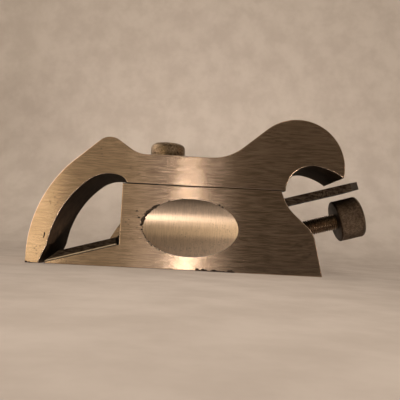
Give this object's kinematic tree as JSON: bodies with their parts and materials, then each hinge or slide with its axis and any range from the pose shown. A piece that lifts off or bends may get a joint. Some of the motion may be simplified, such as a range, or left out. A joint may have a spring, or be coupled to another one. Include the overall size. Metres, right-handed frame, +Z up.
{
  "type": "hand plane",
  "caption": "Small all-metal bullnose rabbet plane with a sliding fore part, a low-angle cutter under a lever cap and a knurled feed screw.",
  "frame": {"origin": "middle of the sole", "axes": "+Z up off the sole, +X from the toe to the heel, Y across the plane"},
  "size_m": [0.1196, 0.028, 0.0541],
  "materials": {
    "nickel_plate": "brushed nickel plate over cast iron, worn at the edges",
    "cutter_steel": "ground steel, darkened by age",
    "screw_steel": "turned steel, browned, knurled where it is gripped",
    "bush_brass": "turned brass, dull"
  },
  "bodies": {
    "casting": {"body": "nickel_plate", "guide_pins": "screw_steel", "adjuster_bush": "bush_brass"},
    "fore": {"fore_part": "nickel_plate"},
    "lock_washer": {"fore_part_washer": "screw_steel"},
    "lock_screw": {"fore_part_screw": "screw_steel"},
    "cutter_set": {"cutter": "cutter_steel", "adjuster_carrier": "screw_steel", "carrier_peg": "screw_steel", "thrust_washer": "bush_brass"},
    "feed_screw": {"adjuster_screw": "screw_steel", "adjuster_knob": "screw_steel", "carrier_clip": "screw_steel"},
    "cap": {"lever_cap": "nickel_plate"},
    "cap_pad": {"lever_cap_pad": "screw_steel"},
    "cap_screw": {"lever_cap_screw": "screw_steel"}
  },
  "joints": [
    {"name": "fore_slide", "type": "slide", "parent": "casting", "child": "fore", "axis": [1, 0, 0], "range_m": [-0.003, 0.00035]},
    {"name": "lock_washer_rise", "type": "slide", "parent": "casting", "child": "lock_washer", "axis": [0, 0, 1], "range_m": [0, 0.001]},
    {"name": "lock_screw_turn", "type": "hinge", "parent": "lock_washer", "child": "lock_screw", "pos_m": [-0.005, 0, 0.0403], "axis": [0, 0, 1], "range_deg": [0, 360]},
    {"name": "cutter_feed", "type": "slide", "parent": "casting", "child": "cutter_set", "axis": [-0.9613, 0, -0.2756], "range_m": [-0.0005, 0.0011]},
    {"name": "feed_screw_turn", "type": "hinge", "parent": "cutter_set", "child": "feed_screw", "pos_m": [0.0533, 0, 0.01843], "axis": [-0.9613, 0, -0.2756], "range_deg": [-225, 495]},
    {"name": "lever_cap_rock", "type": "hinge", "parent": "casting", "child": "cap", "pos_m": [-0.00495, 0, 0.02129], "axis": [0, 1, 0], "range_deg": [0, 1.38]},
    {"name": "pad_lift", "type": "slide", "parent": "cap", "child": "cap_pad", "axis": [-0.2756, 0, 0.9613], "range_m": [0, 0.0008]},
    {"name": "cap_screw_turn", "type": "hinge", "parent": "cap_pad", "child": "cap_screw", "pos_m": [0.021, 0, 0.02946], "axis": [-0.2756, 0, 0.9613], "range_deg": [0, 360]}
  ],
  "couplings": [
    {"joint": "lock_screw_turn", "follows": "lock_washer_rise", "rad_per_m": 6283.1},
    {"joint": "feed_screw_turn", "follows": "cutter_feed", "rad_per_m": 7853.9},
    {"joint": "cap_screw_turn", "follows": "pad_lift", "rad_per_m": 7853.9},
    {"joint": "lever_cap_rock", "follows": "pad_lift", "rad_per_m": 30}
  ]
}
